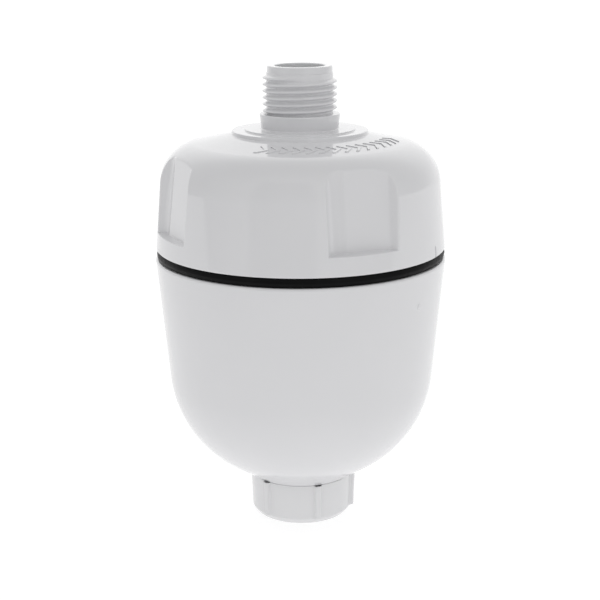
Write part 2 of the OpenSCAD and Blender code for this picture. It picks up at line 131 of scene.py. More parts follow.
def tent_brightness(tree, y):
    """The tent's brightness from front to back, as a share of TENT_MAX."""
    tent = tree.nodes.new("ShaderNodeFloatCurve")
    curve = tent.mapping.curves[0]
    for at, strength in TENT:
        point = (at * 0.5 + 0.5, strength / TENT_MAX)
        if at == -1:
            curve.points[0].location = point
        elif at == 1:
            curve.points[-1].location = point
        else:
            curve.points.new(*point)
    tent.mapping.update()
    tree.links.new(math_node(tree, "MULTIPLY_ADD", y, 0.5, 0.5), tent.inputs["Value"])
    return tent.outputs["Value"]


def gap_shade(tree, x, y, z):
    """1 all over the tent, and less where its front is open."""
    azimuth = math_node(tree, "ARCTAN2", x, math_node(tree, "MULTIPLY", y, -1.0))
    left, right = map(math.radians, GAP_AZIMUTH)
    across = soft_window(tree, azimuth, left, right, GAP_AZIMUTH_SOFT)
    upright = soft_window(tree, z, *GAP_HEIGHT, GAP_HEIGHT_SOFT)
    gap = math_node(tree, "MULTIPLY", across, upright)
    return math_node(tree, "SUBTRACT", 1.0, math_node(tree, "MULTIPLY", gap, GAP_DEPTH))


def overhead_lift(tree, z):
    """1 at the tent's sides, and more overhead."""
    no_end = 3                # a height that no direction reaches
    overhead = soft_window(tree, z, OVERHEAD_FROM, no_end, OVERHEAD_SOFT)
    return math_node(tree, "MULTIPLY_ADD", overhead, OVERHEAD, 1.0)


def make_world():
    """A light tent: a blown-out backdrop, dimmer sides, and a dark gap where it opens."""
    world = bpy.data.worlds.new("studio")
    world.use_nodes = True
    bpy.context.scene.world = world
    tree = world.node_tree
    tree.nodes.clear()
    direction = tree.nodes.new("ShaderNodeTexCoord")
    split = tree.nodes.new("ShaderNodeSeparateXYZ")
    tree.links.new(direction.outputs["Generated"], split.inputs[0])
    x, y, z = split.outputs
    strength = math_node(tree, "MULTIPLY", tent_brightness(tree, y), TENT_MAX)
    strength = math_node(tree, "MULTIPLY", strength, gap_shade(tree, x, y, z))
    strength = math_node(tree, "MULTIPLY", strength, overhead_lift(tree, z))
    light = tree.nodes.new("ShaderNodeBackground")
    light.inputs["Color"].default_value = (1, 1, 1, 1)
    tree.links.new(strength, light.inputs["Strength"])
    out = tree.nodes.new("ShaderNodeOutputWorld")
    tree.links.new(light.outputs[0], out.inputs["Surface"])


def make_floor():
    """A pale, softly glowing table, as in a light tent."""
    left, right, front, back = -TABLE_HALF, TABLE_HALF, -TABLE_FRONT, TABLE_HALF
    corners = [(left, front, 0), (right, front, 0), (right, back, 0), (left, back, 0)]
    material, _, shader = new_material("pale_floor")
    shader.inputs["Base Color"].default_value = (0.5, 0.5, 0.5, 1)
    shader.inputs["Roughness"].default_value = 0.9
    shader.inputs["Specular IOR Level"].default_value = 0.0
    shader.inputs["Emission Color"].default_value = (1, 1, 1, 1)
    shader.inputs["Emission Strength"].default_value = TABLE_GLOW
    mesh = bpy.data.meshes.new("floor")
    mesh.from_pydata(corners, [], [(0, 1, 2, 3)])
    floor = link_piece("floor", mesh, material)


# ---------------------------------------------------------------- materials
def new_material(name):
    """A new material, its node tree and its shader."""
    material = bpy.data.materials.new(name)
    material.use_nodes = True
    tree = material.node_tree
    return material, tree, tree.nodes["Principled BSDF"]


def in_place(tree, kind, scale):
    """A texture in the piece's own space. scale is in cells per metre."""
    place = tree.nodes.new("ShaderNodeTexCoord")
    node = tree.nodes.new(kind)
    node.inputs["Scale"].default_value = scale
    tree.links.new(place.outputs["Object"], node.inputs["Vector"])
    return node


def noise(tree, scale, detail=2.0, roughness=0.5):
    """Noise, most of it between 0.3 and 0.7."""
    node = in_place(tree, "ShaderNodeTexNoise", scale)
    node.inputs["Detail"].default_value = detail
    node.inputs["Roughness"].default_value = roughness
    return node.outputs["Fac"]


def spread(tree, value, low, high):
    """Maps noise to low..high."""
    node = tree.nodes.new("ShaderNodeMapRange")
    node.inputs["From Min"].default_value = 0.3
    node.inputs["From Max"].default_value = 0.7
    node.inputs["To Min"].default_value = low
    node.inputs["To Max"].default_value = high
    tree.links.new(value, node.inputs["Value"])
    return node.outputs["Result"]


def mixed(tree, factor, dark, light):
    """A colour between two others, by a factor from 0 to 1."""
    node = tree.nodes.new("ShaderNodeMix")
    node.data_type = "RGBA"
    node.inputs["A"].default_value = (*dark, 1)
    node.inputs["B"].default_value = (*light, 1)
    tree.links.new(factor, node.inputs["Factor"])
    return node.outputs["Result"]


def bump(tree, shader, heights):
    """Adds bump layers, each (height output, strength, depth in metres)."""
    normal = None
    for height, strength, depth in heights:
        node = tree.nodes.new("ShaderNodeBump")
        node.inputs["Strength"].default_value = strength
        node.inputs["Distance"].default_value = depth
        tree.links.new(height, node.inputs["Height"])
        if normal is not None:
            tree.links.new(normal, node.inputs["Normal"])
        normal = node.outputs["Normal"]
    tree.links.new(normal, shader.inputs["Normal"])


def gloss_plastic(name, base, rough=0.06, shade=0.012):
    """Injection-moulded white plastic: a faint waviness and orange peel under its gloss."""
    material, tree, shader = new_material(name)
    dark = [max(0, c - shade) for c in base]
    tone = spread(tree, noise(tree, 45, 3.0), 0, 1)
    tree.links.new(mixed(tree, tone, dark, base), shader.inputs["Base Color"])
    polish = spread(tree, noise(tree, 160, 4.0, 0.6), rough * 0.8, rough * 1.3)
    tree.links.new(polish, shader.inputs["Roughness"])
    shader.inputs["IOR"].default_value = 1.58
    bump(tree, shader, [(noise(tree, 70, 1.0), 0.12, 0.0002),
                        (noise(tree, 1600, 2.0), 0.02, 0.00004)])
    return material


def satin_plastic(name, base, rough=0.35):
    """Moulded plastic with a fine, dull texture."""
    material, tree, shader = new_material(name)
    dark = [c * 0.94 for c in base]
    tone = spread(tree, noise(tree, 120, 3.0), 0, 1)
    tree.links.new(mixed(tree, tone, dark, base), shader.inputs["Base Color"])
    polish = spread(tree, noise(tree, 500, 4.0, 0.6), rough * 0.8, rough * 1.25)
    tree.links.new(polish, shader.inputs["Roughness"])
    bump(tree, shader, [(noise(tree, 2500, 3.0), 0.12, 0.00005)])
    return material


def rubber(name, base, rough=0.45, shine=0.3):
    """Moulded rubber: fine grain, with a dusty bloom in patches."""
    material, tree, shader = new_material(name)
    bloom = [c * 1.8 + 0.001 for c in base]
    patches = spread(tree, noise(tree, 140, 5.0, 0.65), 0, 1)
    tree.links.new(mixed(tree, patches, base, bloom), shader.inputs["Base Color"])
    polish = spread(tree, noise(tree, 900, 4.0, 0.6), rough * 0.8, rough * 1.3)
    tree.links.new(polish, shader.inputs["Roughness"])
    shader.inputs["Specular IOR Level"].default_value = shine
    bump(tree, shader, [(noise(tree, 3500, 3.0, 0.7), 0.3, 0.00005)])
    return material


def drawn_steel(name):
    """Steel wire and perforated sheet, dull in patches."""
    material, tree, shader = new_material(name)
    tone = spread(tree, noise(tree, 900, 3.0), 0, 1)
    tree.links.new(mixed(tree, tone, (0.42, 0.43, 0.44), (0.66, 0.67, 0.68)),
                   shader.inputs["Base Color"])
    shader.inputs["Metallic"].default_value = 1.0
    polish = spread(tree, noise(tree, 2200, 4.0, 0.6), 0.25, 0.45)
    tree.links.new(polish, shader.inputs["Roughness"])
    bump(tree, shader, [(noise(tree, 5000, 2.0), 0.2, 0.00003)])
    return material


def felt(name):
    """White needled felt, with loose fibres on its face."""
    material, tree, shader = new_material(name)
    tone = spread(tree, noise(tree, 1800, 5.0, 0.7), 0, 1)
    tree.links.new(mixed(tree, tone, (0.68, 0.68, 0.65), (0.88, 0.88, 0.86)),
                   shader.inputs["Base Color"])
    shader.inputs["Roughness"].default_value = 0.95
    shader.inputs["Sheen Weight"].default_value = 0.3
    bump(tree, shader, [(noise(tree, 2600, 6.0, 0.75), 0.8, 0.0003)])
    return material


def granules(name, dark, light, size, rough, metallic=0.0):
    """A packed bed of grains; size is one grain's, in metres."""
    material, tree, shader = new_material(name)
    cells = in_place(tree, "ShaderNodeTexVoronoi", 1 / size)
    pick = tree.nodes.new("ShaderNodeSeparateXYZ")
    tree.links.new(cells.outputs["Color"], pick.inputs[0])
    tree.links.new(mixed(tree, pick.outputs["X"], dark, light), shader.inputs["Base Color"])
    shader.inputs["Roughness"].default_value = rough
    shader.inputs["Metallic"].default_value = metallic
    bulge = math_node(tree, "SUBTRACT", 1.0, cells.outputs["Distance"])
    bump(tree, shader, [(bulge, 1.0, size * 0.6)])
    return material


WHITE = (0.72, 0.72, 0.735)
materials = {
    "cap_white": gloss_plastic("cap_white", WHITE),
    "housing_white": gloss_plastic("housing_white", WHITE),
    "nut_white": gloss_plastic("nut_white", (0.74, 0.74, 0.75), rough=0.18),
    "inner_plastic": satin_plastic("inner_plastic", (0.80, 0.80, 0.78)),
    "band_rubber": rubber("band_rubber", (0.0022, 0.0022, 0.0025), rough=0.4, shine=0.08),
    "seal_rubber": rubber("seal_rubber", (0.012, 0.012, 0.013)),
    "mesh_steel": drawn_steel("mesh_steel"),
    "regulator_green": satin_plastic("regulator_green", (0.05, 0.30, 0.15)),
    "felt": felt("felt"),
    "sulfite_beads": granules("sulfite_beads", (0.72, 0.70, 0.62),
                              (0.86, 0.84, 0.78), 0.0024, 0.6),
    "copper_zinc_granules": granules("copper_zinc_granules", (0.42, 0.28, 0.10),
                                     (0.72, 0.56, 0.28), 0.0009, 0.42, 0.8),
    "carbon_granules": granules("carbon_granules", (0.012, 0.012, 0.012),
                                (0.05, 0.05, 0.05), 0.0014, 0.5),
}


# ---------------------------------------------------------------- outlines
def arc(centre, radius, start, end, step=0.4):
    """Points along an arc. Angles are in degrees from level, outwards."""
    steps = max(2, math.ceil(abs(math.radians(end - start)) * radius / step))
    turn = [math.radians(start + (end - start) * i / steps) for i in range(steps + 1)]
    return [(centre[0] + radius * math.cos(a), centre[1] + radius * math.sin(a)) for a in turn]


ROUNDING_STEP = 15           # degrees between the points of a rounding


def rounded(corners):
    """An outline's corners (r, z, rounding), with each rounding drawn as an arc."""
    points = []
    for i, (r, z, rounding) in enumerate(corners):
        here = Vector((r, z))
        if rounding <= 0 or i in (0, len(corners) - 1):
            points.append((r, z))
            continue
        back = (Vector(corners[i - 1][:2]) - here).normalized()
        on = (Vector(corners[i + 1][:2]) - here).normalized()
        half = back.angle(on) / 2
        reach = rounding / math.tan(half)
        centre = here + (back + on).normalized() * rounding / math.sin(half)
        first = here + back * reach - centre
        swing = first.angle_signed(here + on * reach - centre)
        steps = max(3, math.ceil(abs(swing) / math.radians(ROUNDING_STEP)))
        a0 = math.atan2(first.y, first.x)
        # Vector.angle_signed is positive clockwise
        for k in range(steps + 1):
            a = a0 - swing * k / steps
            points.append((centre.x + rounding * math.cos(a), centre.y + rounding * math.sin(a)))
    return points


CORNER_GUARD = 0.12          # the short stretch beside a corner
CLOSE_TO_STEP = 1.01         # a stretch no longer than this many steps stays whole


def divided(points, step):
    """The same line with no stretch longer than step, and short stretches beside its corners."""
    line = [points[0]]
    for a, b in zip(points, points[1:]):
        length = math.dist(a, b)
        if length < 1e-6:
            continue
        shares = []
        if length > step * CLOSE_TO_STEP:
            guard = min(CORNER_GUARD, length / 4)
            count = max(1, math.ceil((length - 2 * guard) / step))
            middle = 1 - 2 * guard / length
            shares = [guard / length + middle * k / count for k in range(count + 1)]
        for share in shares + [1]:
            line.append((a[0] + (b[0] - a[0]) * share, a[1] + (b[1] - a[1]) * share))
    return line


def spaced(low, high, count):
    """count even values from low, up to but without high."""
    return [low + (high - low) * k / count for k in range(count)]


def smooth_min(a, b, k):
    """The lesser of a and b, rounded where they come within k of each other."""
    h = np.clip(0.5 + 0.5 * (b - a) / k, 0, 1)
    return b + (a - b) * h - k * h * (1 - h)


def smooth_max(a, b, k):
    """The greater of a and b, rounded in the same way."""
    return -smooth_min(-a, -b, k)


def smooth_step(x, low, high):
    """0 below low and 1 above high, with a smooth rise between."""
    t = np.clip((x - low) / (high - low), 0, 1)
    return t * t * (3 - 2 * t)


# ---------------------------------------------------------------- meshes
def link_piece(name, mesh, material):
    """A new object with this mesh and material."""
    mesh.materials.append(material)
    piece = bpy.data.objects.new(name, mesh)
    bpy.context.scene.collection.objects.link(piece)
    return piece


def turned(name, zones, angles, material):
    """Turns a closed outline about Z. zones is a list of (points, shaping or None), in order
    round the outline, and each starts where the last one ends. A shaping takes arrays of
    angle, r and z and returns new r and z."""
    rings_r, rings_z = [], []
    for points, shaping in zones:
        line = np.array(points, float)
        if rings_r:
            line = line[1:]
        if zones[-1][0] is points and np.allclose(line[-1], zones[0][0][0]):
            line = line[:-1]
        r = np.repeat(line[:, :1], len(angles), 1)
        z = np.repeat(line[:, 1:], len(angles), 1)
        if shaping:
            r, z = shaping(np.asarray(angles)[None, :], r, z)
        rings_r.append(r)
        rings_z.append(z)
    r, z = np.vstack(rings_r), np.vstack(rings_z)
    a = np.asarray(angles)[None, :]
    verts = np.stack([r * np.cos(a), r * np.sin(a), z], -1).reshape(-1, 3) * MM
    rows, cols = r.shape
    i, j = np.meshgrid(np.arange(rows), np.arange(cols), indexing="ij")
    i2, j2 = (i + 1) % rows, (j + 1) % cols
    faces = np.stack([i * cols + j, i * cols + j2, i2 * cols + j2, i2 * cols + j], -1)
    mesh = bpy.data.meshes.new(name)
    mesh.from_pydata(verts.tolist(), [], faces.reshape(-1, 4).tolist())
    mesh.validate()
    mesh.shade_smooth()
    return link_piece(name, mesh, material)


def even_angles(count):
    """Angles all the way round, in radians."""
    return np.arange(count) * TAU / count


def off_azimuth(angle, middle):
    """How far an angle is from an azimuth in degrees, from -pi to pi."""
    return (angle - math.radians(middle) + math.pi) % TAU - math.pi


def refined_angles(count, spots):
    """Even angles with closer ones at spots, each (middle, half width, step) in degrees."""
    angles = list(np.degrees(even_angles(count)))
    for middle, half, step in spots:
        near = np.arange(middle - half, middle + half + step / 2, step) % 360
        angles = [a for a in angles if abs((a - middle + 180) % 360 - 180) > half + step / 3]
        angles += list(near)
    return np.radians(np.sort(np.unique(np.round(angles, 5))))


CREST_ROUNDING = 0.25        # share of a ridge's depth
RUN_OUT = 0.16               # turns over which a ridge fades


def thread(start_z, first, pitch, turns, depth, base, tip):
    """A right-hand ridge that starts at start_z and azimuth first and fades at both ends. It
    is base wide at its foot and tip wide at its crest. A positive depth points outwards."""
    def shaping(angle, r, z):
        phase = ((angle - math.radians(first)) / TAU) % 1.0
        turn = np.round((z - start_z) / pitch - phase)
        turn = np.clip(turn, 0, math.floor(turns)) + phase
        away = np.abs(z - start_z - pitch * turn)
        flank = (base - tip) / 2
        side = np.clip((base / 2 - away) / flank, 0, 1)
        side = np.clip(smooth_min(side, 1, CREST_ROUNDING), 0, 1)
        start = smooth_step(turn, 0, RUN_OUT)
        end = 1 - smooth_step(turn, turns - RUN_OUT, turns)
        return r + depth * side * start * end, z
    return shaping


SHARP_ANGLE = 50             # degrees between faces above which an edge is shaded sharp


def prism(bm, first, second):
    """A solid between two outlines that have the same number of points."""
    first = [bm.verts.new(point) for point in first]
    second = [bm.verts.new(point) for point in second]
    bm.faces.new(first)
    bm.faces.new(second[::-1])
    for k in range(len(first)):
        n = (k + 1) % len(first)
        bm.faces.new((second[k], second[n], first[n], first[k]))


def bevelled(name, bm, offset, segments, material):
    """Bevels every edge of a mesh drawn in millimetres, and makes it a piece."""
    bmesh.ops.bevel(bm, geom=list(bm.edges), offset=offset, segments=segments,
                    affect="EDGES", clamp_overlap=True)
    bmesh.ops.scale(bm, vec=(MM, MM, MM), verts=bm.verts)
    mesh = bpy.data.meshes.new(name)
    bm.to_mesh(mesh)
    bm.free()
    mesh.shade_smooth()
    mesh.set_sharp_from_angle(angle=math.radians(SHARP_ANGLE))
    return link_piece(name, mesh, material)


# ---------------------------------------------------------------- cap
# Threads: pitch, a ridge's width at its foot and at its crest
PIPE_PITCH, PIPE_BASE, PIPE_TIP = 1.814, 1.45, 0.3
HOUSE_PITCH, HOUSE_BASE, HOUSE_TIP = 3.0, 1.6, 0.8

CAP_LOW = band_hi.z                      # the skirt's lower edge rests on the seal band
CAP_R = 41.05
CAP_DRAFT = 4.7
SHOULDER_R = 12.3
CREASE = Vector((30.5, 110))             # where the shoulder meets the top face
DISC_R, DISC_Z, DISC_H = 19.0, 113.2, 1.0
TIER_R, TIER_H = 15.6, 0.4               # the low step on the disc
COLLAR_TOP_R, COLLAR_LOW_R, COLLAR_Z = 11.3, 10.8, 117.8
PIPE_ROOT, PIPE_CREST = 9.32, 10.48      # the outlet's thread
PIPE_Z, PIPE_FIRST, PIPE_TURNS = 118.25, 110, 5.47
LEAD_IN_R, LEAD_IN_H = 9.12, 1.9         # the plain end above it
BORE_R = 7.0
SOCKET_R, SOCKET_Z = 9.4, 110.6          # the cartridge's spigot plugs in here
SEAT_R = 8.2                             # the flow regulator sits here
BOSS_R, BOSS_LOW, BOSS_SEAM = 12.4, 101.0, 108.5    # its outline changes zone at the seam
CAP_INSIDE = 34.2
INNER_ROUND, INNER_TOP, INNER_SLOPE = 8.0, 107.1, 10.0
MALE_ROOT, MALE_CREST = 37.0, 38.0       # the thread that goes into the bowl
MALE_Z, MALE_TURNS = 68.4, 2.8

RECESSES = [-65.2 + 90 * i for i in range(4)]      # azimuths from +X, in degrees
RECESS_SPAN = 30                                   # degrees to each side that one may reach
RECESS_FLOOR, RECESS_LEAN = 38.1, 6.5              # radius at the ledge, degrees it leans in
RECESS_HALF = 10.2
RECESS_WALL, RECESS_EDGE = 1.6, 39.3               # the steep wall's width, its outer radius
RECESS_LEDGE = CAP_LOW + 5.2
LEDGE_FALL = 7.0                                   # radial run of the ledge per unit of rise
INNER_BLEND, OUTER_BLEND = 0.48, 0.36              # between its faces, and with the skirt
COVE_W, COVE_R, COVE_BLEND = 5.9, 5.0, 0.2
COVE_BACK = -4.0                                   # slope that ends the floor in the cove
BEYOND = 99.0                                      # a radius past every surface
NOTCH_AT, NOTCH_HALF, NOTCH_DEPTH, NOTCH_H = -25.5, 0.4, 0.5, 3.3
NOTCH_FLANK = (0.6, 1.3)                           # where its flank is, in half widths


def skirt_arc():
    """Where the drafted skirt meets the shoulder's arc, and that arc's centre and end angle."""
    a = math.radians(CAP_DRAFT)
    along, inwards = Vector((-math.sin(a), math.cos(a))), Vector((-math.cos(a), -math.sin(a)))
    foot = Vector((CAP_R, CAP_LOW))
    gap = foot + SHOULDER_R * inwards - CREASE
    half = -gap.dot(along)
    length = half - math.sqrt(half * half - gap.dot(gap) + SHOULDER_R ** 2)
    centre = foot + SHOULDER_R * inwards + length * along
    top = CREASE - centre
    return foot + length * along, centre, math.degrees(math.atan2(top.y, top.x))


def cove_centre():
    """The round cove passes through the recess's clockwise edge and the floor's edge."""
    edge = Vector((RECESS_EDGE, -RECESS_HALF))
    foot = Vector((RECESS_FLOOR, COVE_W - RECESS_HALF))
    chord = foot - edge
    rise = math.sqrt(COVE_R ** 2 - chord.length_squared / 4)
    return (edge + foot) / 2 + rise * Vector((chord.y, -chord.x)).normalized()


def cove_radius(centre, lean, cos, sin):
    """Where a line from the axis first meets the cove's circle."""
    along = (centre.x - lean) * cos + centre.y * sin
    inside = along ** 2 - (centre.x - lean) ** 2 - centre.y ** 2 + COVE_R ** 2
    return np.where(inside > 0, along - np.sqrt(np.maximum(inside, 0)), BEYOND)


def recess_shape(angle, r, z):
    """Cuts the grip recesses: a floor, a round cove, a steep wall and a ledge, all blended."""
    lean = (z - RECESS_LEDGE) * math.tan(math.radians(RECESS_LEAN))
    floor = RECESS_FLOOR - lean
    centre = cove_centre()
    wall_slope = (RECESS_EDGE - RECESS_FLOOR) / RECESS_WALL
    # each side is a plane: its slope, and how far its foot is from the recess's middle
    sides = (wall_slope, RECESS_HALF - RECESS_WALL), (COVE_BACK, centre.y)
    grazing = 0.05            # a plane that faces the axis less than this is never met
    for middle in RECESSES:
        a = off_azimuth(angle, middle)
        near = np.abs(a) < math.radians(RECESS_SPAN)
        a = np.where(near, a, 0)
        cos, sin = np.cos(a), np.sin(a)
        cut = floor / cos
        for slope, foot in sides:
            facing = cos - slope * sin
            plane = (floor - slope * foot) / np.maximum(facing, grazing)
            cut = smooth_max(cut, np.where(facing > grazing, plane, BEYOND), INNER_BLEND)
        cut = smooth_min(cut, cove_radius(centre, lean, cos, sin), COVE_BLEND)
        ledge = CAP_R - (z - RECESS_LEDGE) * LEDGE_FALL
        cut = smooth_max(cut, ledge, INNER_BLEND)
        r = smooth_min(r, np.where(near, cut, BEYOND), OUTER_BLEND)
    return r, z


def notch_shape(angle, r, z):
    """Cuts the small notch in the skirt's lower edge."""
    across = np.abs(off_azimuth(angle, NOTCH_AT)) * r / NOTCH_HALF
    height = CAP_LOW + NOTCH_H
    side = 1 - smooth_step(across, *NOTCH_FLANK)
    end = 1 - smooth_step(z, height - 0.3, height)
    return r - NOTCH_DEPTH * side * end, z


def skirt_shape(angle, r, z):
    """The recesses and the notch, together."""
    r, z = recess_shape(angle, r, z)
    return notch_shape(angle, r, z)


def cap_skirt(foot, top):
    """The skirt's line. Its rows of points are closest together across the recesses' ledges."""
    levels = [foot[1], RECESS_LEDGE - 0.4, RECESS_LEDGE + 1.6, top[1]]
    steps = [0.35, 0.06, 0.5]
    heights = []
    for low, high, step in zip(levels, levels[1:], steps):
        heights += spaced(low, high, math.ceil((high - low) / step))
    run = (foot[0] - top[0]) / (top[1] - foot[1])
    return [(foot[0] - (z - foot[1]) * run, z) for z in heights] + [top]


def cap_top(crease):
    """The top face, disc, collar and the foot of the outlet's thread."""
    face_low = DISC_Z - DISC_H
    return rounded([
        (*crease, 0), (DISC_R + 0.25, face_low, 0.2), (DISC_R, DISC_Z, 0.25),
        (TIER_R, DISC_Z, 0.15), (TIER_R - 0.15, DISC_Z + TIER_H, 0.15),
        (COLLAR_LOW_R, DISC_Z + TIER_H, 0.35), (COLLAR_TOP_R, COLLAR_Z, 0.3),
        (PIPE_ROOT, COLLAR_Z, 0.1), (PIPE_ROOT, COLLAR_Z + 0.2, 0)])


def cap_rim(lead_z):
    """The outlet's plain end, its bore, and the socket and boss under it."""
    return rounded([
        (PIPE_ROOT, lead_z - 0.1, 0), (PIPE_ROOT, lead_z, 0.08), (LEAD_IN_R, lead_z, 0.08),
        (LEAD_IN_R, cap_hi.z, 0.35), (BORE_R, cap_hi.z, 0.35), (BORE_R, regulator_top, 0.1),
        (SEAT_R, regulator_top, 0.1), (SEAT_R, SOCKET_Z, 0.1), (SOCKET_R, SOCKET_Z, 0.1),
        (SOCKET_R, BOSS_LOW, 0.5), (BOSS_R, BOSS_LOW, 0.4), (BOSS_R, BOSS_SEAM, 0)])


def build_cap():
    """The cap: its skirt with the grip recesses, top face, outlet, underside and threads."""
    skirt_top, centre, crease_angle = skirt_arc()
    low_edge = rounded([(MALE_ROOT, CAP_LOW, 0), (CAP_R + 0.04, CAP_LOW, 0.5),
                        (skirt_top.x, skirt_top.y, 0)])[:-1]
    skirt = cap_skirt(low_edge[-1], tuple(skirt_top))
    shoulder = arc(centre, SHOULDER_R, CAP_DRAFT, crease_angle, 0.3)
    top = cap_top(shoulder[-1])
    lead_z = cap_hi.z - LEAD_IN_H
    rim = cap_rim(lead_z)
    inner_slope = math.radians(INNER_SLOPE)
    dome_c = Vector((CAP_INSIDE - INNER_ROUND, INNER_TOP - INNER_ROUND * math.cos(inner_slope)))
    dome = arc(dome_c, INNER_ROUND, 90 - INNER_SLOPE, 0, 0.8)
    boss_root = dome[0][1] + (dome[0][0] - BOSS_R) * math.tan(inner_slope)
    under = rounded([(BOSS_R, BOSS_SEAM, 0), (BOSS_R, boss_root, 0.6), (*dome[0], 0)])
    lip = rounded([
        (*dome[-1], 0), (CAP_INSIDE, cap_lo.z, 0.4), (MALE_ROOT - 0.4, cap_lo.z, 0.3),
        (MALE_ROOT, cap_lo.z + 0.5, 0.2), (MALE_ROOT, cap_lo.z + 0.6, 0)])
    pipe = thread(PIPE_Z, PIPE_FIRST, PIPE_PITCH, PIPE_TURNS, PIPE_CREST - PIPE_ROOT,
                  PIPE_BASE, PIPE_TIP)
    male = thread(MALE_Z, 0, HOUSE_PITCH, MALE_TURNS, MALE_CREST - MALE_ROOT,
                  HOUSE_BASE, HOUSE_TIP)
    zones = [
        (divided(low_edge, 1.0), notch_shape),
        (skirt, skirt_shape),
        (shoulder, skirt_shape),
        (divided(top, 0.8), None),
        (divided([top[-1], (PIPE_ROOT, lead_z - 0.1)], 0.09), pipe),
        (divided(rim, 1.5), None),
        (divided(under, 1.5), None),
        (dome, None),
        (divided(lip, 3.0), None),
        (divided([lip[-1], (MALE_ROOT, CAP_LOW)], 0.15), male),
    ]
    edges = [(m, 19, 0.35) for m in RECESSES] + [(NOTCH_AT, 1.2, 0.08)]
    cap = turned("cap", zones, refined_angles(420, edges), materials["cap_white"])
    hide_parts("cap_shell")
    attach(cap, "cap")


MARKS, MARK_FIRST, MARK_LAST = 15, -112.5, -11
MARK_R, MARK_LENGTH, MARK_W, MARK_STROKE = 25.7, 5.0, 2.6, 1.2
MARK_H, MARK_SINK, MARK_BEVEL = 0.24, 0.4, 0.16


def build_marks():
    """A ring of raised chevrons that point the way the cap turns off."""
    slope = math.atan2(DISC_Z - DISC_H - CREASE.y, CREASE.x - DISC_R)
    face_z = CREASE.y + (CREASE.x - MARK_R) * math.tan(slope)
    half, reach, s = MARK_LENGTH / 2, MARK_W / 2, MARK_STROKE / 2
    outline = [(-half, -reach - s), (0, reach - s), (half, -reach - s),
               (half, -reach + s), (0, reach + s), (-half, -reach + s)]
    bm = bmesh.new()
    for i in range(MARKS):
        azimuth = math.radians(MARK_FIRST + (MARK_LAST - MARK_FIRST) * i / (MARKS - 1))
        place = (Matrix.Rotation(azimuth, 4, "Z") @ Matrix.Translation((MARK_R, 0, face_z))
                 @ Matrix.Rotation(slope, 4, "Y"))
        prism(bm, [place @ Vector((x, y, MARK_H)) for x, y in outline],
              [place @ Vector((x, y, -MARK_SINK)) for x, y in outline])
    marks = bevelled("cap_turn_marks", bm, MARK_BEVEL, 3, materials["cap_white"])
    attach(marks, "cap")


# ---------------------------------------------------------------- bowl
BOWL_TOP = band_lo.z
BOWL_R = 41.3
BOWL_DRAFT = 5.3
BOTTOM_R, BOTTOM_OFFSET = 33.7, 4.5
BOWL_WALL = 2.9
FOOT_SLOPE, FOOT_R = 33.0, 13.8
NECK_RECESS_R, NECK_RECESS_Z = 13.3, 14.4       # the nut's neck turns in this
FLOOR_R, FLOOR_Z = 17.0, 17.6
HUB_R, HUB_TOP, HUB_BORE, HUB_SHOULDER, HUB_WAY = 11.0, 27.0, 7.9, 25.0, 5.6
FEMALE_ROOT, FEMALE_CREST = 38.35, 37.35
FEMALE_Z, FEMALE_TURNS = MALE_Z - HOUSE_PITCH / 2, 3.1
PIP_AT, PIP_Z, PIP_R, PIP_H = -38.0, 68.0, 0.75, 0.25
PIP_FLANK = (0.45, 1.0)                         # where its flank is, as shares of PIP_R
PIP_STRETCH, PIP_REACH = 1.9, 3.0               # its upper half's stretch, its fine rows' reach
RIBS, RIB_T, RIB_IN, RIB_OUT, RIB_BEVEL = 6, 2.0, 10.0, 27.0, 0.3


def pip_shape(angle, r, z):
    """A small drop-shaped witness mark."""
    across = off_azimuth(angle, PIP_AT) * r
    up = z - PIP_Z
    stretch = np.where(up > 0, PIP_STRETCH, 1.0)
    away = np.sqrt(across ** 2 + (up / stretch) ** 2) / PIP_R
    return r + PIP_H * (1 - smooth_step(away, *PIP_FLANK)), z


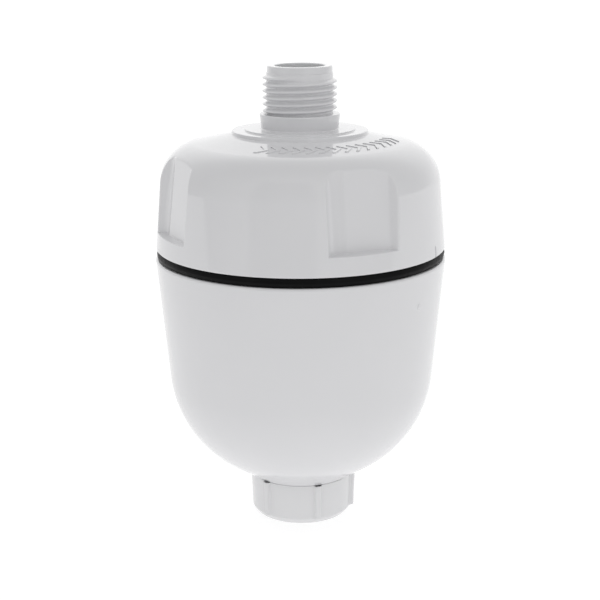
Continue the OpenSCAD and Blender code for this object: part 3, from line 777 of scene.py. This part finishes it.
def build_bowl():
    """The bowl: foot, round bottom, side, rim, the thread inside it, and the hub."""
    a = math.radians(BOWL_DRAFT)
    side = BOWL_R * math.cos(a) - BOWL_TOP * math.sin(a)
    centre = (BOTTOM_OFFSET, (math.cos(a) * BOTTOM_OFFSET - side + BOTTOM_R) / math.sin(a))
    f = math.radians(FOOT_SLOPE)
    cone = (centre[0] + BOTTOM_R * math.sin(f), centre[1] - BOTTOM_R * math.cos(f))
    foot_z = cone[1] - (cone[0] - FOOT_R) * math.tan(f)
    foot = rounded([(HUB_BORE, NECK_RECESS_Z, 0), (NECK_RECESS_R, NECK_RECESS_Z, 0.2),
                    (NECK_RECESS_R, foot_z, 0.15), (FOOT_R, foot_z, 0.2), (*cone, 0)])
    bottom = arc(centre, BOTTOM_R, FOOT_SLOPE - 90, -BOWL_DRAFT, 0.7)

    # the side's rows are closest together across the pip
    pip_low, pip_high, rim_z = PIP_Z - PIP_REACH, PIP_Z + PIP_REACH, BOWL_TOP - 2
    side_z = (spaced(bottom[-1][1], pip_low, 40) + spaced(pip_low, pip_high, 34)
              + spaced(pip_high, rim_z, 12) + [rim_z])
    side_line = [(BOWL_R - (BOWL_TOP - z) * math.tan(a), z) for z in side_z]
    rim = rounded([(*side_line[-1], 0), (BOWL_R, BOWL_TOP, 0.6), (FEMALE_ROOT, BOWL_TOP, 0.2),
                   (FEMALE_ROOT, BOWL_TOP - 0.3, 0)])
    thread_low = FEMALE_Z - HOUSE_PITCH / 2
    inner_r = BOTTOM_R - BOWL_WALL
    floor_angle = -math.degrees(math.acos((FLOOR_R - BOTTOM_OFFSET) / inner_r))
    inside = arc(centre, inner_r, -BOWL_DRAFT, floor_angle, 1.2)
    neck = rounded([(FEMALE_ROOT, thread_low + 0.5, 0), (FEMALE_ROOT, thread_low, 0.3),
                    (FEMALE_CREST - 0.1, thread_low - 1.2, 0.5), (*inside[0], 0)])
    hub = rounded([(*inside[-1], 0), (FLOOR_R - 0.8, FLOOR_Z, 0.3), (HUB_R, FLOOR_Z, 0.8),
                   (HUB_R, HUB_TOP, 0.4), (HUB_WAY, HUB_TOP, 0.3), (HUB_WAY, HUB_SHOULDER, 0.1),
                   (HUB_BORE, HUB_SHOULDER, 0.1), (HUB_BORE, NECK_RECESS_Z, 0)])
    female = thread(FEMALE_Z, 0, HOUSE_PITCH, FEMALE_TURNS, FEMALE_CREST - FEMALE_ROOT,
                    HOUSE_BASE, HOUSE_TIP)
    zones = [
        (divided(foot, 0.8), None),
        (bottom, None),
        ([bottom[-1]] + side_line[1:], pip_shape),
        (divided(rim, 1.0), None),
        (divided([rim[-1], (FEMALE_ROOT, thread_low + 0.5)], 0.15), female),
        (divided(neck, 1.5), None),
        (inside, None),
        (divided(hub, 1.5), None),
    ]
    bowl = turned("bowl", zones, refined_angles(420, [(PIP_AT, 2.4, 0.16)]),
                  materials["housing_white"])
    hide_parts("bowl_shell")
    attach(bowl, "housing")


def build_bowl_ribs():
    """The ribs on the bowl's floor that the cartridge stands on."""
    outline = [(RIB_IN, FLOOR_Z - 1), (FLOOR_R, FLOOR_Z - 1), (RIB_OUT, FLOOR_Z + 5),
               (RIB_OUT, cartridge_low), (RIB_IN, cartridge_low)]
    bm = bmesh.new()
    for i in range(RIBS):
        turn = Matrix.Rotation(TAU * i / RIBS, 4, "Z")
        prism(bm, [turn @ Vector((r, -RIB_T / 2, z)) for r, z in outline],
              [turn @ Vector((r, RIB_T / 2, z)) for r, z in outline])
    ribs = bevelled("bowl_floor_ribs", bm, RIB_BEVEL, 2, materials["housing_white"])
    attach(ribs, "housing")


# ---------------------------------------------------------------- seal band
BAND_EDGE, BAND_BULGE = CAP_R - 1.1, 1.0       # where the bulge starts, how far it stands out
BAND_SQUEEZE = 0.06                            # how far the bulge is drawn in
FLASH_H, FLASH_HALF = 0.05, 0.12               # the mould line round its middle


def build_band():
    """The rubber ring squeezed between cap and bowl, bulging and slightly uneven."""
    inner = MALE_CREST + 0.1
    middle, half = (BOWL_TOP + CAP_LOW) / 2, (CAP_LOW - BOWL_TOP) / 2
    bulge = [(BAND_EDGE + BAND_BULGE * math.cos(t), middle + half * math.sin(t))
             for t in np.radians(np.arange(-90, 91, 7.5))]
    body = divided([(inner, CAP_LOW), (inner, BOWL_TOP), bulge[0]], 0.8)
    lid = divided([bulge[-1], (inner, CAP_LOW)], 0.8)

    def squeezed(angle, r, z):
        """Slow waves round the bulge, and a fine mould line."""
        lift = 1 - ((z - middle) / half) ** 2
        wave = 0.04 * np.sin(3 * angle + 0.7) + 0.03 * np.sin(7 * angle + 2.1)
        flash = FLASH_H * np.exp(-((z - middle) / FLASH_HALF) ** 2)
        return r + (wave - BAND_SQUEEZE) * np.clip(lift, 0, 1) + flash, z
    zones = [(body, None), (bulge, squeezed), (lid, None)]
    band = turned("seal_band", zones, even_angles(360), materials["band_rubber"])
    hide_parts("housing_oring")
    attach(band, "housing")


# ---------------------------------------------------------------- swivel nut
NUT_TOP_R, NUT_LOW_R, NUT_GRIP_H = 15.0, 14.6, 12.16
NUT_END_CHAMFER, NUT_END_H = 1.2, 1.6
NUT_SHOULDER_R, NUT_SHOULDER_Z = 13.9, 11.36
NUT_NECK_R, NUT_LIP_Z, NUT_HOLE_R = 12.9, 11.9, 8.0
NUT_ROOT, NUT_CREST, NUT_MOUTH_R, NUT_MOUTH_H = 10.62, 9.42, 10.9, 1.5
NUT_CHAMBER_R, NUT_CHAMBER_Z = 9.7, 8.4
NUT_RIBS, NUT_RIB_FIRST, NUT_RIB_STEP = 5, -132, 60
NUT_RIB_H, NUT_RIB_HALF = 1.0, 1.0
NUT_RIB_FLANK = (0.6, 1.25)      # where a rib's flank starts and ends, in half widths


def nut_rib_shape(angle, r, z):
    """Raises the nut's ribs on its side, but not on its chamfer or on the slope of its top."""
    low = smooth_step(z, NUT_END_H - 0.05, NUT_END_H + 0.3)
    top = smooth_step(r, NUT_TOP_R - 0.5, NUT_TOP_R - 0.2)
    raised = NUT_RIB_H * low * np.where(z > NUT_GRIP_H - 1, top, 1)
    flank_start, flank_end = (NUT_RIB_HALF * share for share in NUT_RIB_FLANK)
    out = r
    for i in range(NUT_RIBS):
        across = np.abs(off_azimuth(angle, NUT_RIB_FIRST + NUT_RIB_STEP * i)) * NUT_LOW_R
        out = out + raised * (1 - smooth_step(across, flank_start, flank_end))
    return out, z


def build_nut():
    """The swivel nut: ribbed grip, neck round the tailpiece, chamber, thread and mouth."""
    grip = rounded([
        (NUT_MOUTH_R, 0, 0), (NUT_LOW_R - NUT_END_CHAMFER, 0, 0.5), (NUT_LOW_R, NUT_END_H, 0.5),
        (NUT_TOP_R, NUT_GRIP_H, 0.06), (NUT_SHOULDER_R, NUT_SHOULDER_Z, 0.2),
        (NUT_NECK_R + 0.3, NUT_SHOULDER_Z, 0)])
    neck = rounded([
        (NUT_NECK_R + 0.3, NUT_SHOULDER_Z, 0), (NUT_NECK_R, NUT_SHOULDER_Z, 0.1),
        (NUT_NECK_R, nut_top, 0.3), (NUT_HOLE_R, nut_top, 0.2), (NUT_HOLE_R, NUT_LIP_Z, 0.1),
        (NUT_CHAMBER_R, NUT_LIP_Z, 0.2), (NUT_CHAMBER_R, NUT_CHAMBER_Z, 0.1),
        (NUT_ROOT, NUT_CHAMBER_Z, 0.1), (NUT_ROOT, NUT_CHAMBER_Z - 0.2, 0)])
    mouth = rounded([(NUT_ROOT, NUT_MOUTH_H + 0.2, 0), (NUT_ROOT, NUT_MOUTH_H, 0.1),
                     (NUT_MOUTH_R, NUT_MOUTH_H - 0.2, 0.1), (NUT_MOUTH_R, 0, 0)])
    turns = (NUT_CHAMBER_Z - NUT_MOUTH_H) / PIPE_PITCH - 1
    inside = thread(NUT_MOUTH_H + PIPE_PITCH / 2, 0, PIPE_PITCH, turns, NUT_CREST - NUT_ROOT,
                    PIPE_BASE, PIPE_TIP)
    zones = [
        (divided(grip, 0.22), nut_rib_shape),
        (divided(neck, 0.8), None),
        (divided([neck[-1], mouth[0]], 0.1), inside),
        (divided(mouth, 0.4), None),
    ]
    nut = turned("coupling_nut", zones, even_angles(480), materials["nut_white"])
    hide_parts("swivel_nut")
    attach(nut, "nut")


# ---------------------------------------------------------------- carried-over CAD nodes
def dress_cad_nodes():
    """Gives each CAD node the material that its row in the record names."""
    for entry in frame["record"]["subparts"]:
        node = frame["nodes"][entry["node"]]
        node.data.materials.clear()
        node.data.materials.append(materials[entry["material_slot"]])


make_camera()
make_world()
make_floor()
bpy.context.scene.view_settings.view_transform = "Standard"
dress_cad_nodes()
build_cap()
build_marks()
build_bowl()
build_bowl_ribs()
build_band()
build_nut()
